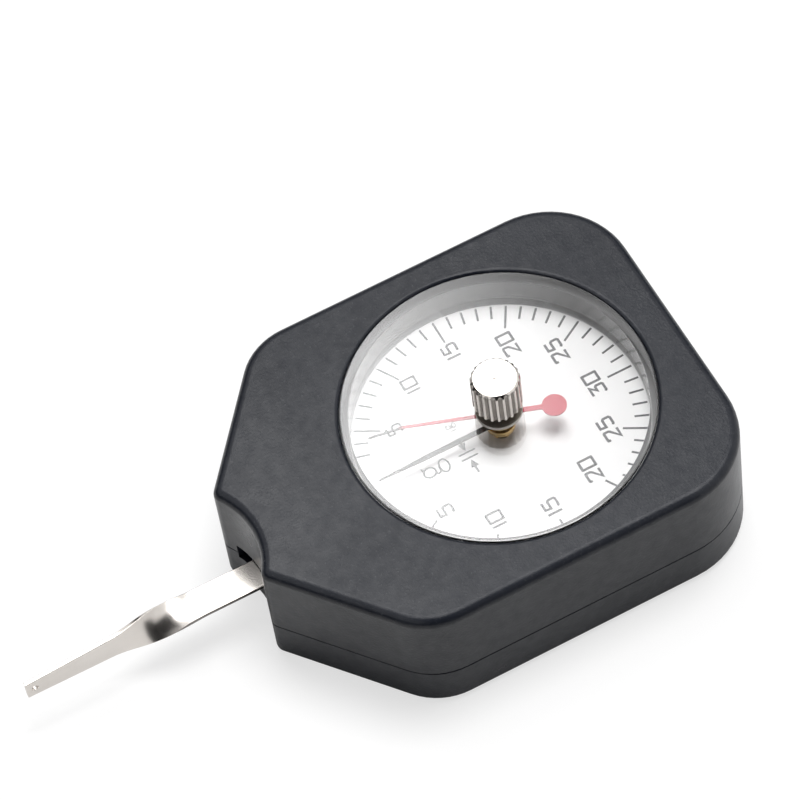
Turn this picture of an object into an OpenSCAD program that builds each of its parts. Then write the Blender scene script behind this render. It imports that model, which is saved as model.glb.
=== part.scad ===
// Dial tension gauge: a feeler swings either way, turns a measuring pointer and carries a drag pointer.
// +Z is out of the dial, +Y towards the feeler's tip, and the origin is on the dial axis at the back face.

/* [Case] */
// Width across the parallel sides
body_w = 52.5; // [51.5:0.1:56]
// Dial axis to the back wall
back_reach = 27.2; // [26.8:0.1:30]
// Dial axis to each slanted front face
slant_reach = 35.3; // [34.9:0.1:37]
// Angle of a slanted face's normal from the feeler's line
slant_angle = 38.9; // [37:0.1:41]
// Height of the case without the knob
case_h = 20.8; // [20.6:0.1:22]
// Share of that height below the line where the two shells meet
parting_share = 0.36; // [0.35:0.005:0.37]
// Thickness of the side walls
wall = 2; // [1.7:0.1:2.1]
// Thickness of the front shell's face
roof = 2; // [1.6:0.1:2.4]
// Thickness of the rear cover's floor
floor_t = 1.6; // [1.2:0.1:1.8]
// Rounding of the front face's rim
edge_r = 1.4; // [0.5:0.1:1.5]
// Rounding of the back face's rim
base_r = 1.3; // [0.5:0.1:1.4]
// Rounding of the two back corners, seen from the front
back_corner_r = 12.2; // [11:0.1:13]
// Rounding between a side and a slanted face
shoulder_r = 9.4; // [8.5:0.1:10.5]
// Rounding of the two nose tips
nose_r = 1.5; // [1.5:0.1:2]
// Radius of the hollow between the nose tips
notch_r = 12.1; // [11:0.1:13]
// Dial axis to the deepest point of that hollow
notch_y = 37.2; // [36.8:0.1:37.6]
// Width of the feeler's slot
slot_w = 10.1; // [9.8:0.1:11]
// Slot below the parting line
slot_below = 1.2; // [1:0.1:1.3]
// Slot above the parting line
slot_above = 1.8; // [1.7:0.1:2]

/* [Window and dial] */
// Outer radius of the crystal
crystal_r = 21.3; // [20.8:0.1:21.6]
// Side wall of the crystal
crystal_wall = 1; // [0.8:0.1:1.4]
// Face of the crystal
crystal_t = 1.5; // [1.2:0.1:1.6]
// Depth of the dial's face below the case's face
dial_depth = 7.1; // [6.9:0.1:7.3]
// Radius of the dial plate and of the crystal's flange
dial_r = 22.5; // [22.2:0.1:22.7]
// Thickness of the dial plate
dial_t = 0.5; // [0.4:0.1:0.8]

/* [Pointers and knob] */
// Length of the measuring pointer from its axis
pointer_len = 18.4; // [16:0.1:19]
// Height of the measuring pointer above the dial
pointer_rise = 2.1; // [1.8:0.1:2.3]
// Reach of the drag pointer from its axis
red_len = 17.9; // [16:0.1:19]
// Height of the drag pointer above the dial
red_rise = 4.05; // [3.9:0.05:4.1]
// Where the drag pointer stands at rest, in degrees from the feeler's line
red_angle = 20.9; // [10:0.1:60]
// Axis to the centre of the disc on the drag pointer's tail
red_disc_at = 7.45; // [6:0.05:9]
// Radius of the knob over its flutes
knob_r = 3.4; // [3:0.1:4.5]
// Top of the knob above the case's face
knob_rise = 6.4; // [5:0.1:8]
// Number of flutes round the knob
knob_flutes = 22; // [16:1:28]

/* [Feeler] */
// Width of the strip
feeler_w = 4.4; // [4:0.1:4.6]
// Thickness of the strip
feeler_t = 0.6; // [0.5:0.1:0.8]
// Middle of the strip above the parting line
feeler_rise = 1.05; // [0.9:0.05:1.15]
// Dial axis to the feeler's tip
feeler_reach = 72.45; // [68:0.05:80]
// Dial axis to where the quarter twist starts
twist_start = 46; // [45:0.5:51]
// Dial axis to where it ends
twist_end = 60; // [55:0.5:63]
// Height of the blade at its tip
tip_w = 3.2; // [2.6:0.1:4]
// Top edge of the blade at its tip, above the strip's middle
tip_top = 1.2; // [0.9:0.05:2]
// Hole in the tip
tip_hole_d = 1; // [0.6:0.1:1.4]
// Centre of that hole from the tip
tip_hole_in = 1.25; // [1:0.05:2]

/* [Movement] */
// Swing of the feeler either way, in degrees
swing = 9; // [8.9:0.1:9.5]
// Turn of the measuring pointer for that swing, in degrees
sweep = 180; // [170:1:180]
// Size of the gear teeth
tooth_m = 0.2; // [0.19:0.01:0.2]
// Play between the flanks of the teeth
backlash = 0.05; // [0.04:0.01:0.08]
// Thickness of the upper plate
main_t = 1.2; // [1:0.1:1.3]
// Thickness of the lower plate
rear_t = 0.8; // [0.7:0.1:1]
// Wire of the measuring spring
spring_wire = 0.3; // [0.2:0.05:0.35]
// Radial play of a shaft in its bearing
run_gap = 0.04; // [0.02:0.01:0.08]
// Play of a piece that is pressed or screwed in
seat_gap = 0.02; // [0.01:0.01:0.05]

/* [Hidden] */
$fn = 64;
bed = 0.3;
steps = 5;

// Heights
case_inner = case_h - roof;
parting_z = case_h * parting_share;
crystal_top = case_h - 0.05;
crystal_under = crystal_top - crystal_t;
dial_top = case_h - dial_depth;
dial_low = dial_top - dial_t;
flange_t = 1;
skirt_z = dial_top + flange_t + 0.05;
rear_low = floor_t + 1.2;
rear_top = rear_low + rear_t;
feeler_z = parting_z + feeler_rise;
feeler_low = feeler_z - feeler_t / 2;
feeler_top = feeler_z + feeler_t / 2;
hub_low = feeler_low - 0.8;
clamp_top = feeler_top + 0.6;
clamp_head_h = 0.6;
lever_top = clamp_top + clamp_head_h;
main_share = 0.44;
main_low = lever_top + main_share * (dial_low - lever_top - main_t);
main_top = main_low + main_t;
sector_low = rear_top + 0.4;
sector_top = sector_low + 0.8;
pointer_z = dial_top + pointer_rise;
pointer_t = 0.2;
pointer_top = pointer_z + pointer_t;
pointer_hub_r = 2;
pointer_hub_h = 0.9;
red_z = dial_top + red_rise;
red_top = red_z + pointer_t;
red_shoulder = red_top + 0.35;
bush_low = crystal_under - 0.55;
knob_top = case_h + knob_rise;
knob_base = crystal_top + 0.85;

// Plan of the case
half_w = body_w / 2;
slant_dir = 90 - slant_angle;
slant_n = [cos(slant_dir), sin(slant_dir)];
slant_along = [sin(slant_dir), -cos(slant_dir)];
back_c = [half_w - back_corner_r, back_corner_r - back_reach];
shoulder_x = half_w - shoulder_r;
shoulder_c = [shoulder_x, (slant_reach - shoulder_r - shoulder_x * slant_n.x) / slant_n.y];
notch_c = [0, notch_y + notch_r];
nose_from = slant_n * (slant_reach - nose_r) - notch_c;
nose_b = nose_from * slant_along;
nose_s = sqrt(nose_b ^ 2 - nose_from * nose_from + (notch_r + nose_r) ^ 2) - nose_b;
nose_c = notch_c + nose_from + slant_along * nose_s;
nose_end = atan2(notch_c.y - nose_c.y, -nose_c.x);
front_in = notch_y - wall;

// Lip between the shells
lip_gap = 0.1;
lip_t = 0.8;
lip_h = 1.2;
lip_in = wall + lip_gap + lip_t;

// Fasteners
boss_r = 2.4;
cover_boss_r = 3.2;
cover_screw_r = 1;
cover_head_r = 1.9;
cover_seat = 4.2;
cover_screw_l = 9;
boss_in = lip_in + boss_r + 0.3;
back_screw = back_c + (back_corner_r - boss_in) * [cos(45), -sin(45)];
front_screw = shoulder_c + (shoulder_r - boss_in) * [cos(slant_dir / 2), sin(slant_dir / 2)];
cover_screw_at = [back_screw, front_screw];
plate_lobe_r = 2;
plate_boss_r = 1.75;
plate_screw_r = 0.9;
plate_head_r = 1.6;
plate_screw_l = 4.5;
plate_in = wall + plate_lobe_r + 0.2;
post_in = lip_in + plate_lobe_r + 1.3;
plate_screw_at = [by_slant(-4.5), back_c - [0, back_corner_r - plate_in]];

// Gear train
pinion_teeth = 12;
ratio = sweep / swing;
pressure = 20;
pinion_r = tooth_m * pinion_teeth / 2;
sector_r = pinion_r * ratio;
sector_teeth = pinion_teeth * ratio;
pivot_y = pinion_r + sector_r;
sector_add = 0.7 * tooth_m;
pinion_add = 1.1 * tooth_m;
root_gap = 0.25 * tooth_m;
teeth_each_side = ceil(swing * sector_teeth / 360) + 2;
rim_in = sector_r - 1.8;
arm_w = [2, 3.2];

// Bearings and posts
pillar_r = 1.6;
pillar_at = [by_slant(-11), [12.5, -3]];
pillar_screw_r = 0.6;
pillar_head_r = 1.3;
pillar_screw_l = 3;
bush_r = 1.7;
lever_r = 1.25;
lever_pivot_r = 0.6;
arbor_r = 0.75;
arbor_low_r = 0.4;
arbor_top_r = 0.6;
foot_at = [14, -14];
foot_r = 0.6;
eye_r = 3.3;
clamp_screw_r = 0.5;
clamp_screw_at = 2.3;
stop_r = 0.6;
stop_at = 13;
stop_play = 0.5;

// Springs
coil_r = 2.2;
coil_turns = 2.5;
coil_low = sector_top + 0.2 + spring_wire / 2;
coil_high = hub_low - 0.2 - spring_wire / 2;
post_r = 0.7;
post_at = 5.3;
pin_at = 8;
leg_end = 9;
leg_bend = 4;
leg_x = post_r + spring_wire / 2 + seat_gap;
hair_z = main_low - 2;
hair_h = 0.5;
hair_t = 0.1;
hair_turns = 4.25;
collet_r = 1.35;
hair_in = collet_r + seat_gap + hair_t / 2;
hair_out = 5.4;
stud_r = 0.55;

// Knob
spindle_r = 1.2;
spindle_end_r = 0.8;
bush_tube_r = 1.9;
bush_flange_r = 3.25;
red_neck_r = 1.6;
red_hub_r = 2.3;
flute_r = 0.36;

black = [0.06, 0.06, 0.065];
white = [0.93, 0.93, 0.92];
nickel = [0.78, 0.77, 0.75];
steel = [0.6, 0.61, 0.63];
brass = [0.79, 0.63, 0.32];
red = [0.75, 0.12, 0.1];
clear = [0.85, 0.9, 0.92, 0.3];

function polar(r, a) = r * [cos(a), sin(a)];
function arc(c, r, a0, a1, n) = [for (i = [0:n]) c + polar(r, a0 + (a1 - a0) * i / n)];
function ease(t) = let (u = min(max(t, 0), 1)) u * u * (3 - 2 * u);
function flip(p) = [-p.x, p.y];
// Point inside a slanted face, s along it from its middle line
function by_slant(s) = slant_n * (slant_reach - post_in) + slant_along * s;

// Closed solid through rings that turn right-handed about the way they run
module skin(rings) {
    n = len(rings[0]);
    last = (len(rings) - 1) * n;
    points = [for (r = rings) each r];
    sides = [for (k = [0:n:last - n]) for (i = [0:n - 1])
        [k + i, k + n + i, k + n + (i + 1) % n, k + (i + 1) % n]];
    start = [for (i = [0:n - 1]) i];
    end = [for (i = [n - 1:-1:0]) last + i];
    polyhedron(points, concat([start], sides, [end]), convexity = 8);
}

// Plan of the case, moved inwards by d
function half_outline(d) = concat(
    arc(back_c, back_corner_r - d, -90, 0, 14),
    arc(shoulder_c, shoulder_r - d, 0, slant_dir, 8),
    arc(nose_c, max(nose_r - d, 0.1), slant_dir, nose_end, 6));
function outline(d) = let (h = half_outline(d), n = len(h)) concat(h,
    [for (i = [1:11]) arc(notch_c, notch_r + d, nose_end - 180, -nose_end, 12)[i]],
    [for (i = [n - 1:-1:0]) flip(h[i])]);

// Plan of the hollow, a wall of d inside the case
function half_hollow(d) = concat(
    arc(back_c, back_corner_r - d, -90, 0, 10),
    arc(shoulder_c, shoulder_r - d, 0, slant_dir, 6),
    [[(slant_reach - d - (front_in - d + wall) * slant_n.y) / slant_n.x, front_in - d + wall]]);
function hollow(d) = let (h = half_hollow(d), n = len(h)) concat(h, [for (i = [n - 1:-1:0]) flip(h[i])]);

module case_loft(levels) {
    skin([for (l = levels) [for (p = outline(l[1])) [p.x, p.y, l[0]]]]);
}

module both_sides(places) {
    for (p = places) for (s = [-1, 1]) translate([s * p.x, p.y, 0]) children();
}

module tube(r_out, r_in, h) {
    difference() {
        cylinder(r = r_out, h = h);
        translate([0, 0, -1]) cylinder(r = r_in, h = h + 2);
    }
}

// Screw that points up, with the underside of its head at z = 0
module screw(head_r, head_h, shank_r, shank_l, drive_w) {
    difference() {
        union() {
            translate([0, 0, -head_h]) cylinder(r1 = head_r * 0.85, r2 = head_r, h = head_h * 0.35);
            translate([0, 0, -head_h * 0.65]) cylinder(r = head_r, h = head_h * 0.65);
            cylinder(r = shank_r, h = shank_l);
        }
        for (a = [0, 90]) rotate(a)
            translate([-head_r * 0.6, -drive_w / 2, -head_h - 1])
                cube([head_r * 1.2, drive_w, 1 + head_h * 0.5]);
    }
}

module feeler_slot() {
    translate([-slot_w / 2, front_in - 1, parting_z - slot_below])
        cube([slot_w, notch_r, slot_below + slot_above]);
}

module front_case() {
    rim = [for (i = [0:steps]) let (a = 90 * i / steps)
        [case_h - edge_r + edge_r * sin(a), edge_r * (1 - cos(a))]];
    seam = 0.15;
    bezel_r = crystal_r + 0.15;
    bezel_round = 0.6;
    color(black) difference() {
        union() {
            difference() {
                case_loft(concat([[parting_z, seam], [parting_z + seam, 0]], rim));
                translate([0, 0, parting_z - 1])
                    linear_extrude(case_inner - parting_z + 1) polygon(hollow(wall));
            }
            translate([0, 0, skirt_z]) cylinder(r = bezel_r + 1.5, h = case_inner + bed - skirt_z);
            both_sides(cover_screw_at)
                translate([0, 0, parting_z]) cylinder(r = boss_r, h = case_inner + bed - parting_z);
            both_sides(plate_screw_at)
                translate([0, 0, main_top]) cylinder(r = plate_boss_r, h = case_inner + bed - main_top);
        }
        translate([0, 0, skirt_z - 1]) cylinder(r = bezel_r, h = case_h, $fn = 128);
        rotate_extrude($fn = 128) translate([bezel_r, case_h - bezel_round]) difference() {
            translate([-1, 0]) square([1 + bezel_round, bezel_round + 1]);
            translate([bezel_round, 0]) circle(r = bezel_round);
        }
        both_sides(cover_screw_at) translate([0, 0, parting_z - 1])
            cylinder(r = cover_screw_r + seat_gap, h = cover_seat + cover_screw_l + 0.5 - parting_z + 1);
        both_sides(plate_screw_at)
            translate([0, 0, main_top - 1]) cylinder(r = plate_screw_r + seat_gap, h = plate_screw_l + 1.3);
        feeler_slot();
    }
}

module rear_cover() {
    rim = [for (i = [steps:-1:0]) let (a = 90 * i / steps)
        [base_r - base_r * sin(a), base_r * (1 - cos(a))]];
    seam = 0.15;
    color(black) difference() {
        union() {
            difference() {
                case_loft(concat(rim, [[parting_z - seam, 0], [parting_z, seam]]));
                translate([0, 0, floor_t]) linear_extrude(parting_z) polygon(hollow(wall));
            }
            difference() {
                translate([0, 0, parting_z - 1.5]) linear_extrude(1.5 - seam) polygon(hollow(wall - 0.3));
                translate([0, 0, parting_z - 2]) linear_extrude(lip_h + 4) polygon(hollow(lip_in));
            }
            difference() {
                translate([0, 0, parting_z - 1]) linear_extrude(lip_h + 1) polygon(hollow(wall + lip_gap));
                translate([0, 0, parting_z - 2]) linear_extrude(lip_h + 4) polygon(hollow(lip_in));
                translate([-slot_w / 2 - wall, front_in - 2 * wall, parting_z])
                    cube([slot_w + 2 * wall, 4 * wall, 2 * lip_h]);
            }
            both_sides(cover_screw_at)
                translate([0, 0, floor_t - bed]) cylinder(r = cover_boss_r, h = parting_z - floor_t + bed);
        }
        both_sides(cover_screw_at) {
            translate([0, 0, -1]) cylinder(r = cover_head_r + 0.3, h = cover_seat + 1);
            translate([0, 0, -1]) cylinder(r = cover_screw_r + 0.15, h = parting_z + 2);
        }
        feeler_slot();
    }
}

module crystal() {
    bevel = 0.12;
    hole = bush_tube_r + seat_gap;
    inner = crystal_r - crystal_wall;
    color(clear) rotate_extrude($fn = 128) polygon([
        [hole, crystal_under], [inner, crystal_under], [inner, dial_top], [dial_r, dial_top],
        [dial_r, dial_top + flange_t], [crystal_r, dial_top + flange_t], [crystal_r, crystal_top - bevel],
        [crystal_r - bevel, crystal_top], [hole, crystal_top]]);
}

module dial_plate() {
    color(white) {
        difference() {
            union() {
                translate([0, 0, dial_low]) cylinder(r = dial_r, h = dial_t, $fn = 128);
                for (y = foot_at) translate([0, y, 0]) {
                    translate([0, 0, main_top]) cylinder(r = 2 * foot_r, h = dial_low + bed - main_top);
                    translate([0, 0, main_low - 0.3])
                        cylinder(r = foot_r, h = dial_low + bed - main_low + 0.3);
                }
            }
            translate([0, 0, dial_low - 1]) cylinder(r = 1.4, h = 3);
        }
    }
}

module knob_bush() {
    color(nickel) difference() {
        union() {
            translate([0, 0, bush_low]) cylinder(r = bush_flange_r, h = crystal_under - bush_low);
            translate([0, 0, bush_low]) cylinder(r = bush_tube_r, h = knob_base - 0.1 - bush_low);
        }
        translate([0, 0, bush_low - 1]) cylinder(r = spindle_r + run_gap, h = 6);
    }
}

module main_plate() {
    color(brass) difference() {
        translate([0, 0, main_low]) linear_extrude(main_t) hull() {
            both_sides(plate_screw_at) circle(r = plate_lobe_r, $fn = 32);
            both_sides(pillar_at) circle(r = plate_lobe_r, $fn = 32);
        }
        translate([0, 0, main_low - 1]) {
            both_sides(cover_screw_at) cylinder(r = boss_r + 0.2, h = 4);
            both_sides(plate_screw_at) cylinder(r = plate_screw_r + 0.1, h = 4);
            both_sides(pillar_at) cylinder(r = pillar_r * 0.6 + seat_gap, h = 4);
            for (y = [0, pivot_y]) translate([0, y, 0]) cylinder(r = bush_r + seat_gap, h = 4);
            for (y = foot_at) translate([0, y, 0]) cylinder(r = foot_r + seat_gap, h = 4);
        }
    }
}

module rear_plate() {
    color(brass) difference() {
        translate([0, 0, rear_low]) linear_extrude(rear_t) hull()
            both_sides(pillar_at) circle(r = plate_lobe_r, $fn = 32);
        translate([0, 0, rear_low - 1]) {
            both_sides(pillar_at) cylinder(r = pillar_screw_r + 0.1, h = 4);
            for (y = [0, pivot_y]) translate([0, y, 0]) cylinder(r = bush_r + seat_gap, h = 4);
        }
    }
}

module pillars() {
    color(steel) both_sides(pillar_at) difference() {
        union() {
            translate([0, 0, rear_top]) cylinder(r = pillar_r, h = main_low - rear_top);
            translate([0, 0, rear_top + 1]) cylinder(r = pillar_r * 0.6, h = main_top - rear_top - 1);
        }
        translate([0, 0, rear_top - 1]) cylinder(r = pillar_screw_r + seat_gap, h = pillar_screw_l + 1.5);
    }
}

module bush_pair(low_r, high_r) {
    color(brass) {
        translate([0, 0, rear_low]) tube(bush_r, low_r + run_gap, rear_t);
        translate([0, 0, main_low]) tube(bush_r, high_r + run_gap, main_t);
    }
}

module lever_bushes() {
    translate([0, pivot_y, 0]) bush_pair(lever_pivot_r, lever_pivot_r);
}

module arbor_bushes() {
    bush_pair(arbor_low_r, arbor_top_r);
}

module stop_pins() {
    reach = arm_w[0] + (arm_w[1] - arm_w[0]) * stop_at / rim_in + stop_r;
    color(steel) for (s = [-1, 1])
        translate([0, pivot_y, rear_top]) rotate(s * (swing + stop_play))
            translate([s * reach, -stop_at, 0]) cylinder(r = stop_r, h = sector_top + 0.3 - rear_top);
}

module spring_post() {
    color(steel) translate([0, pivot_y + post_at, rear_top])
        cylinder(r = post_r, h = coil_high + spring_wire - rear_top);
}

// Wire along the points, each ring square to the way it runs
module wire(path, r) {
    sides = 8;
    last = len(path) - 1;
    skin([for (i = [0:last]) let (
        way = path[min(i + 1, last)] - path[max(i - 1, 0)],
        along = way / norm(way),
        flat = cross(along, [0, 0, 1]),
        e1 = flat / norm(flat),
        e2 = cross(along, e1))
        [for (k = [0:sides - 1]) path[i] + r * (cos(360 * k / sides) * e1 + sin(360 * k / sides) * e2)]]);
}

// Leg of the spring on side s at height z, from the coil outwards
function leg(s, z) = [[s * coil_r, coil_r / 2, z], [s * leg_x, leg_bend, z], [s * leg_x, leg_end, z]];

module measuring_spring() {
    turn = 360 * coil_turns;
    coil = [for (a = [0:18:turn]) let (p = polar(coil_r, 180 + a))
        [p.x, p.y, coil_low + (coil_high - coil_low) * a / turn]];
    first = leg(-1, coil_low);
    path = concat([first[2], first[1], first[0]], coil, leg(1, coil_high));
    color(steel) translate([0, pivot_y, 0]) wire(path, spring_wire / 2);
}

function hair_r(a) = hair_in + (hair_out - hair_in) * a / (360 * hair_turns);

module hairspring() {
    turn = 360 * hair_turns;
    outer = [for (a = [0:18:turn]) polar(hair_r(a) + hair_t / 2, 180 + a)];
    inner = [for (a = [0:18:turn]) polar(hair_r(a) - hair_t / 2, 180 + a)];
    n = len(inner);
    color(steel) translate([0, 0, hair_z])
        linear_extrude(hair_h) polygon(concat(outer, [for (i = [n - 1:-1:0]) inner[i]]));
}

module hairspring_stud() {
    last = 180 + 360 * hair_turns;
    at = polar(hair_out, last) + polar(stud_r + seat_gap, last + 90);
    color(brass) translate([at.x, at.y, hair_z - 0.3]) cylinder(r = stud_r, h = main_low - hair_z + 0.3);
}

module cover_screws() {
    color(steel) both_sides(cover_screw_at)
        translate([0, 0, cover_seat]) screw(cover_head_r, 1.4, cover_screw_r, cover_screw_l, 0.5);
}

module plate_screws() {
    color(steel) both_sides(plate_screw_at)
        translate([0, 0, main_low]) screw(plate_head_r, 0.9, plate_screw_r, main_t + plate_screw_l, 0.35);
}

module pillar_screws() {
    color(steel) both_sides(pillar_at)
        translate([0, 0, rear_low]) screw(pillar_head_r, 0.8, pillar_screw_r, rear_t + pillar_screw_l, 0.3);
}

// Share of the blade's taper, its height, the middle of the section and its twist at y
function taper(y) = max(0, (y - twist_end) / (feeler_reach - twist_end));
function blade_w(y) = feeler_w + (tip_w - feeler_w) * taper(y);
function blade_z(y) = feeler_z + (tip_top - tip_w / 2) * taper(y);
function twist(y) = ease((y - twist_start) / (twist_end - twist_start));
function section(y) = let (a = 90 * twist(y), w = blade_w(y) / 2, t = feeler_t / 2)
    [for (c = [[-w, t], [w, t], [w, -t], [-w, -t]])
        [c.x * cos(a) - c.y * sin(a), y, blade_z(y) + c.x * sin(a) + c.y * cos(a)]];

module feeler() {
    twisted = twist_end - twist_start;
    stations = concat([for (i = [0:20]) twist_start + twisted * i / 20], [feeler_reach]);
    hole_y = feeler_reach - tip_hole_in;
    color(nickel) difference() {
        union() {
            translate([0, 0, feeler_low]) linear_extrude(feeler_t) union() {
                translate([0, pivot_y]) circle(r = eye_r);
                translate([-feeler_w / 2, pivot_y]) square([feeler_w, twist_start - pivot_y]);
            }
            skin([for (y = stations) section(y)]);
        }
        translate([0, pivot_y, feeler_low - 1]) {
            cylinder(r = lever_r + seat_gap, h = 3);
            for (s = [-1, 1]) translate([s * clamp_screw_at, 0, 0]) cylinder(r = clamp_screw_r + 0.1, h = 3);
            translate([0, pin_at, 0]) cylinder(r = post_r + seat_gap, h = 3);
        }
        translate([-feeler_w, hole_y, blade_z(hole_y)]) rotate([0, 90, 0])
            cylinder(r = tip_hole_d / 2, h = 2 * feeler_w);
    }
}

module lever_arbor() {
    color(steel) translate([0, pivot_y, 0]) {
        translate([0, 0, rear_top + 0.1]) cylinder(r = lever_r, h = main_low - rear_top - 0.2);
        translate([0, 0, rear_low + 0.05]) cylinder(r = lever_pivot_r, h = main_top - rear_low - 0.1);
    }
}

module lever_hub() {
    color(brass) translate([0, pivot_y, hub_low]) difference() {
        tube(eye_r, lever_r + seat_gap, feeler_low - hub_low);
        for (s = [-1, 1]) translate([s * clamp_screw_at, 0, -1])
            cylinder(r = clamp_screw_r + seat_gap, h = 3);
    }
}

module clamp_plate() {
    color(brass) translate([0, pivot_y, feeler_top]) difference() {
        tube(eye_r, lever_r + seat_gap, clamp_top - feeler_top);
        for (s = [-1, 1]) translate([s * clamp_screw_at, 0, -1]) cylinder(r = clamp_screw_r + 0.1, h = 3);
    }
}

module clamp_screws() {
    color(steel) translate([0, pivot_y, clamp_top]) for (s = [-1, 1]) translate([s * clamp_screw_at, 0, 0])
        rotate([180, 0, 0]) screw(0.9, clamp_head_h, clamp_screw_r, clamp_top - hub_low, 0.25);
}

// Involute tooth: half its angle at radius r, thinned by the backlash
function inv(a) = tan(a) * 180 / PI - a;
function half_tooth(r, pitch_r, teeth) = let (base = pitch_r * cos(pressure))
    90 / teeth - backlash / 4 / pitch_r * 180 / PI + inv(pressure) - (r > base ? inv(acos(base / r)) : 0);
function tooth(c, root, tip, pitch_r, teeth) = let (
    radii = [for (i = [0:steps]) root + (tip - root) * i / steps],
    half = [for (r = radii) half_tooth(r, pitch_r, teeth)])
    concat([for (i = [0:steps]) polar(radii[i], c - half[i])],
        [for (i = [steps:-1:0]) polar(radii[i], c + half[i])]);

module sector_gear() {
    tip = sector_r + sector_add;
    root = sector_r - pinion_add - root_gap;
    pitch = 360 / sector_teeth;
    span = pitch * (teeth_each_side + 0.5);
    teeth = [for (i = [-teeth_each_side:teeth_each_side])
        each tooth(i * pitch - 90, root, tip, sector_r, sector_teeth)];
    arm_end = -rim_in - 0.4;
    color(brass) translate([0, pivot_y, sector_low]) linear_extrude(sector_top - sector_low) difference() {
        union() {
            polygon(concat(teeth, arc([0, 0], rim_in, span - 90, -span - 90, 12)));
            polygon([[-arm_w[0], 0], [-arm_w[1], arm_end], [arm_w[1], arm_end], [arm_w[0], 0]]);
            circle(r = 2.8);
        }
        polygon([[-0.7, -5], [-1.6, 2 - rim_in], [1.6, 2 - rim_in], [0.7, -5]]);
        circle(r = lever_r + seat_gap);
    }
}

module spring_pin() {
    color(steel) translate([0, pivot_y + pin_at, coil_low - spring_wire])
        cylinder(r = post_r, h = feeler_top - coil_low + spring_wire);
}

module pinion_arbor() {
    root = pinion_r - sector_add - root_gap;
    teeth = [for (i = [0:pinion_teeth - 1])
        each tooth(90 + (i + 0.5) * 360 / pinion_teeth, root, pinion_r + pinion_add, pinion_r, pinion_teeth)];
    color(steel) {
        translate([0, 0, rear_top + 0.1]) cylinder(r = arbor_r, h = main_low - rear_top - 0.2);
        translate([0, 0, rear_low + 0.05]) cylinder(r = arbor_low_r, h = 2);
        translate([0, 0, main_low - 1]) cylinder(r = arbor_top_r, h = pointer_top + 0.4 - main_low + 1);
        translate([0, 0, sector_low - 0.1]) linear_extrude(sector_top - sector_low + 0.4) polygon(teeth);
    }
}

module hairspring_collet() {
    color(brass) translate([0, 0, hair_z - 0.3]) tube(collet_r, arbor_r + seat_gap, hair_h + 0.6);
}

module pointer_hub() {
    color(brass) translate([0, 0, pointer_z - pointer_hub_h])
        tube(pointer_hub_r, arbor_top_r + seat_gap, pointer_hub_h);
}

module black_pointer() {
    taper_at = pointer_len * 0.625;
    tail = pointer_len / 6;
    half = 0.37;
    tip = 0.09;
    right = [[half, -tail], [half, taper_at], [tip, pointer_len]];
    color(black) translate([0, 0, pointer_z]) linear_extrude(pointer_t) difference() {
        union() {
            circle(r = 1.5);
            polygon(concat(right, [for (i = [2:-1:0]) flip(right[i])]));
        }
        circle(r = arbor_top_r + seat_gap);
    }
}

module reset_knob() {
    bevel = 0.45;
    color(nickel) difference() {
        rotate_extrude() polygon([
            [0, red_z - 0.6], [spindle_end_r, red_z - 0.6], [spindle_end_r, red_shoulder],
            [spindle_r, red_shoulder], [spindle_r, knob_base], [knob_r, knob_base],
            [knob_r, knob_top - bevel], [knob_r - bevel, knob_top], [0.5, knob_top], [0, knob_top - 0.25]]);
        for (i = [0:knob_flutes - 1]) rotate(360 * i / knob_flutes)
            translate([knob_r + flute_r * 0.3, 0, knob_base - 1])
                cylinder(r = flute_r, h = knob_rise + 2, $fn = 24);
    }
}

module red_pointer_hub() {
    color(brass) translate([0, 0, red_z - 0.7]) {
        tube(red_hub_r, spindle_end_r + seat_gap, 0.7);
        translate([0, 0, 0.7 - bed]) tube(red_neck_r, spindle_end_r + seat_gap, red_shoulder - red_z + bed);
    }
}

module red_pointer() {
    bend = red_len * 0.72;
    arm = 0.28;
    end = 0.14;
    tip_z = pointer_top + 0.3 - red_z;
    color(red) translate([0, 0, red_z]) rotate(-red_angle) {
        linear_extrude(pointer_t) difference() {
            union() {
                circle(r = red_hub_r);
                polygon([[arm, 0], [0.2, bend], [-0.2, bend], [-arm, 0]]);
                translate([-0.36, -red_disc_at]) square([0.72, red_disc_at]);
                translate([0, -red_disc_at]) circle(r = 1.7);
            }
            circle(r = red_neck_r + seat_gap);
        }
        // Tip bent down towards the dial
        skin([for (s = [[bend, 0, 0.2], [red_len, tip_z, end]])
            [for (c = [[-1, 1], [1, 1], [1, 0], [-1, 0]]) [c.x * s[2], s[0], s[1] + c.y * pointer_t]]]);
    }
}

module friction_washer() {
    color(steel) rotate_extrude() translate([0, red_shoulder + 0.02])
        polygon([[spindle_r + 0.05, 0], [2.6, 0.12], [2.6, 0.27], [spindle_r + 0.05, 0.15]]);
}

front_case();
rear_cover();
crystal();
dial_plate();
knob_bush();
main_plate();
rear_plate();
pillars();
lever_bushes();
arbor_bushes();
stop_pins();
spring_post();
measuring_spring();
hairspring();
hairspring_stud();
cover_screws();
plate_screws();
pillar_screws();
feeler();
lever_arbor();
lever_hub();
clamp_plate();
clamp_screws();
sector_gear();
spring_pin();
pinion_arbor();
hairspring_collet();
pointer_hub();
black_pointer();
reset_knob();
red_pointer_hub();
red_pointer();
friction_washer();
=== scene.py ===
import math

import bpy
from mathutils import Matrix, Vector


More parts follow.
